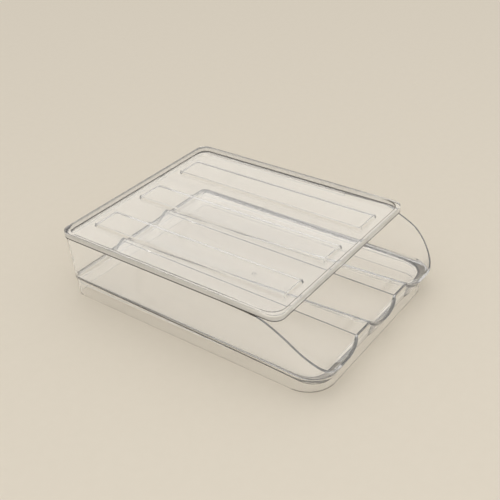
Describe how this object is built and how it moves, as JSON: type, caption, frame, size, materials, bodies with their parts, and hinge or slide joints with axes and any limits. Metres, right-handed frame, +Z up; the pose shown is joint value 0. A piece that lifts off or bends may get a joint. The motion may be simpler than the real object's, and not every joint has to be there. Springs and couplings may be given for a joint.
{
  "type": "egg holder",
  "caption": "Clear flat egg holder for a refrigerator shelf: a drafted tray with rounded lanes and an open scooped front, a ring base and a ribbed lift-off lid",
  "frame": {"origin": "on the floor under the middle of the holder", "axes": "+X across the lanes to the right as seen from the open end, -Y towards the open end, +Z up"},
  "size_m": [0.2098, 0.2796, 0.072],
  "materials": {
    "tray_plastic": "clear, polished",
    "base_plastic": "clear, polished",
    "lid_plastic": "clear, polished"
  },
  "bodies": {
    "holder": {"egg_tray": "tray_plastic", "base": "base_plastic"},
    "lid": {"lid": "lid_plastic"}
  },
  "joints": [
    {"name": "lid_lift", "type": "slide", "parent": "holder", "child": "lid", "axis": [0, 0, 1], "range_m": [0, 0.04]}
  ]
}
